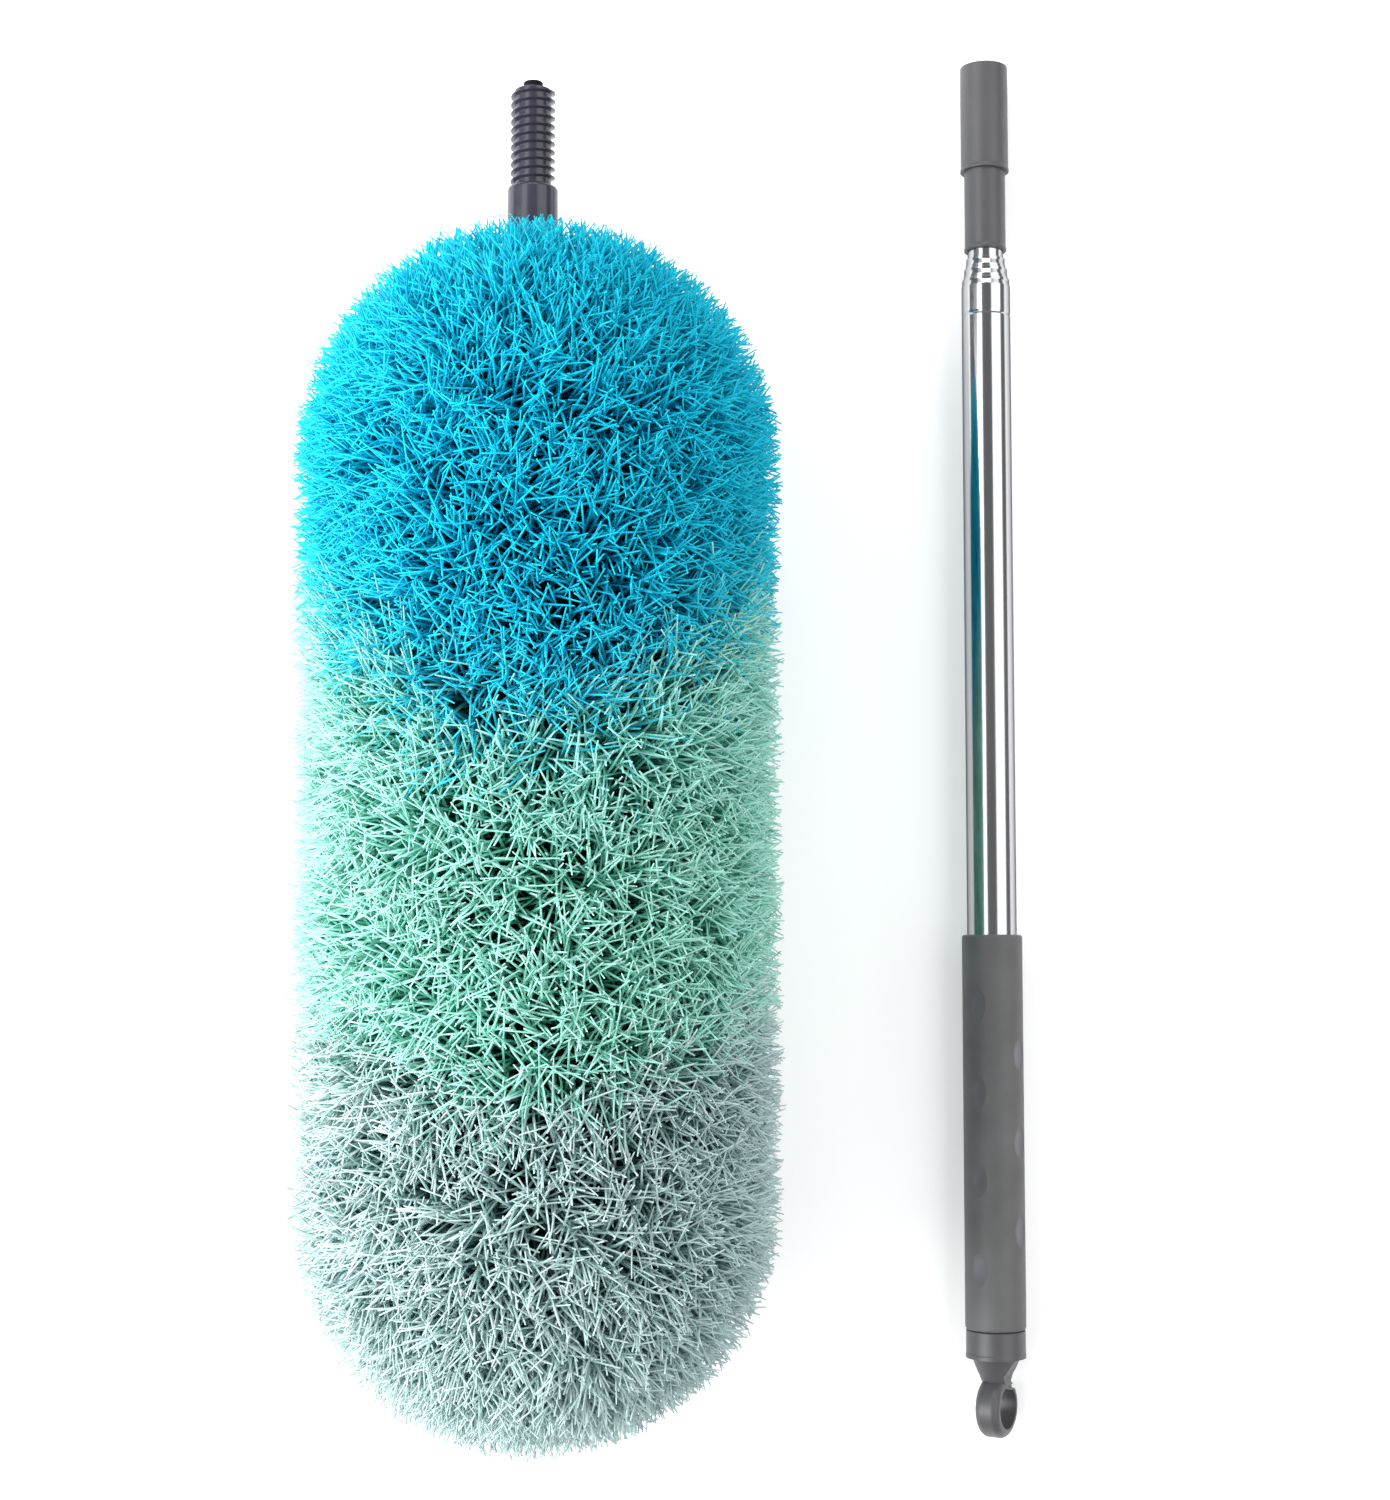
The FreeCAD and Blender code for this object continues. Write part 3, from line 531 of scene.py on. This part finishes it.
def strand_corners(path, radii):
    """The corners of every strand's rings, tapering to the tip."""
    count, rings = path.shape[:2]
    heading = unit(np.gradient(path, axis=1))
    helper = unit(random.normal(0, 1, (count, 1, 3)) + OFF_ZERO)
    across = unit(np.cross(heading, helper))
    up = np.cross(heading, across)
    taper = np.interp(np.linspace(0, 1, rings), TAPER_PLACES, TAPER_SHARES)
    radius = radii[:, None, None] * taper[None, :, None]
    corners = []
    for side in range(SIDES):
        angle = math.tau * side / SIDES
        corners.append(path + radius * (math.cos(angle) * across + math.sin(angle) * up))
    return np.stack(corners, axis=2).reshape(-1, 3)


def strand_object(name, path, radii, shade, tint, material):
    """One mesh of closed, tapering, three-sided strands."""
    count, rings = path.shape[:2]
    vertices = strand_corners(path, radii)
    quads, caps = strand_faces(rings)
    first = np.arange(count) * rings * SIDES
    per_strand = np.concatenate([quads.ravel(), caps.ravel()])
    loops = (per_strand[None] + first[:, None]).ravel()
    sizes = np.tile([4] * len(quads) + [3] * len(caps), count)
    starts = np.concatenate([[0], np.cumsum(sizes)[:-1]])

    mesh = bpy.data.meshes.new(name)
    mesh.vertices.add(len(vertices))
    mesh.vertices.foreach_set("co", vertices.astype(np.float32).ravel())
    mesh.loops.add(len(loops))
    mesh.loops.foreach_set("vertex_index", loops.astype(np.int32))
    mesh.polygons.add(len(sizes))
    mesh.polygons.foreach_set("loop_start", starts.astype(np.int32))
    mesh.polygons.foreach_set("use_smooth", np.ones(len(sizes), bool))
    mesh.update(calc_edges=True)
    mesh.validate()

    # The layout runs along each strand in U, and V tells the strands apart
    layer = mesh.uv_layers.new(name=UV_LAYER)
    corner = np.tile(per_strand, count)
    level = (corner // SIDES) / (rings - 1)
    row = np.repeat(shade, len(per_strand)) + UV_SIDE_STEP * (corner % SIDES)
    uv = np.stack([UV_MARGIN + (1 - 2 * UV_MARGIN) * level, row], axis=1)
    layer.data.foreach_set("uv", uv.astype(np.float32).ravel())
    tints = mesh.attributes.new(TINT_LAYER, "FLOAT", "POINT")
    tints.data.foreach_set("value", np.repeat(tint, rings * SIDES).astype(np.float32))
    return add_piece(name, mesh, material)


def add_piece(name, mesh, material):
    """An object of the head with one material."""
    mesh.materials.append(material)
    made = bpy.data.objects.new(name, mesh)
    scene.collection.objects.link(made)
    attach(made, "head")
    return made


def bristle_material(name, painted_deep_shade, body, tip, tinted):
    """Fibre colour: painted shade near the core, full further out and paler towards the tip, strand
    by strand.
    """
    fibre = Shader(name, body, roughness=0.45)
    fibre.set("Specular IOR Level", 0.12)
    layer = fibre.tree.nodes.new("ShaderNodeUVMap")
    layer.uv_map = UV_LAYER
    split = fibre.tree.nodes.new("ShaderNodeSeparateXYZ")
    fibre.link(layer.outputs["UV"], split.inputs["Vector"])
    # Painted shade: each strand's colour is darkened towards its root inside the head
    along = fibre.ramp(split.outputs["X"], (0.0, painted_deep_shade), (0.25, painted_deep_shade), (0.66, body), (1.0, tip))
    step = fibre.node("ShaderNodeMath", "SNAP")
    step.inputs[1].default_value = SHADE_STEP
    fibre.link(split.outputs["Y"], step.inputs[0])
    strand = fibre.tree.nodes.new("ShaderNodeTexWhiteNoise")
    strand.noise_dimensions = "1D"
    fibre.link(step.outputs["Value"], strand.inputs["W"])
    shade = fibre.ramp(strand.outputs["Value"], *grey_steps((0, 0.72), (1, 1.0)))
    colour = fibre.mix("MULTIPLY", along, shade)
    if tinted:
        border = fibre.tree.nodes.new("ShaderNodeAttribute")
        border.attribute_name = TINT_LAYER
        share = fibre.spread(border.outputs["Fac"], 0, BORDER_MIX)
        colour = fibre.mix("MIX", colour, BORDER_COLOUR, share)
    fibre.feed(colour, "Base Color")
    return fibre.material


def add_bristles():
    """The three bands of strands, each in a few pieces."""
    path, band, near_border = grow_strands()
    radii = random.uniform(*STRAND_RADII, len(path))
    press_on_floor(path, radii)
    shade = random.random(len(path)) * SHADE_SPAN
    for number, (colour, painted_deep_shade, body, tip) in enumerate(BANDS):
        tinted = colour in BORDER_BANDS
        material = bristle_material(f"bristle_{colour}", painted_deep_shade, body, tip, tinted)
        members = np.flatnonzero(band == number)
        for share in range(SETS):
            some = members[share::SETS]
            name = f"bristles_{colour}_{share + 1}"
            piece = strand_object(
                name, path[some], radii[some], shade[some], near_border[some], material
            )
            if share == 0:
                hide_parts(f"bristle_band_{colour}")


def roots_shade_material():
    """Packed fibre painted near-black as shade, with each band's own tint."""
    roots = Shader("bristle_roots_shade", (0.01, 0.05, 0.06), roughness=0.9)
    split = roots.tree.nodes.new("ShaderNodeSeparateXYZ")
    roots.link(roots.place(), split.inputs["Vector"])
    span = roots.node("ShaderNodeMapRange", From_Min=HEAD_BOTTOM, From_Max=HEAD_TOP)
    roots.link(split.outputs["Y"], span.inputs["Value"])
    # Painted shade: the packed middle is near-black, tinted by band along the head
    roots.feed(roots.ramp(span.outputs["Result"], *ROOT_SHADE_COLOURS), "Base Color")
    roots.bump(roots.noise(420, stretch=(1, 0.4, 1)), strength=0.8, distance=0.004)
    return roots.material


def add_core_fill():
    """The dense middle of the head, where the strands are packed together, painted dark as shade."""
    core = bmesh.new()
    bmesh.ops.create_uvsphere(core, u_segments=FILL_SEGMENTS, v_segments=FILL_RINGS, radius=1.0)
    radius = HEAD_RADIUS * FILL_REACH
    half = (HEAD_TOP - HEAD_BOTTOM) / 2 - HEAD_RADIUS
    centre = Vector((HEAD_X, (HEAD_TOP + HEAD_BOTTOM) / 2, HEAD_Z))
    first, second = RIPPLE_WAVES
    for vertex in core.verts:
        x, z, y = vertex.co
        waves = math.sin(first[0] * y + first[1] * x) * math.sin(second[0] * z + second[1] * y)
        ripple = 1 + RIPPLE * waves
        stretch = half if y > 0 else -half
        vertex.co = centre + Vector((x * radius * ripple, y * radius + stretch, z * radius * ripple))
    mesh = bpy.data.meshes.new("bristle_roots_shade")
    core.to_mesh(mesh)
    core.free()
    mesh.polygons.foreach_set("use_smooth", np.ones(len(mesh.polygons), bool))
    piece = add_piece("bristle_roots_shade", mesh, roots_shade_material())


# ---- build --------------------------------------------------------------------------------------

add_camera()
add_light()
add_floor()
dress_cad_nodes()
add_core_fill()
add_bristles()
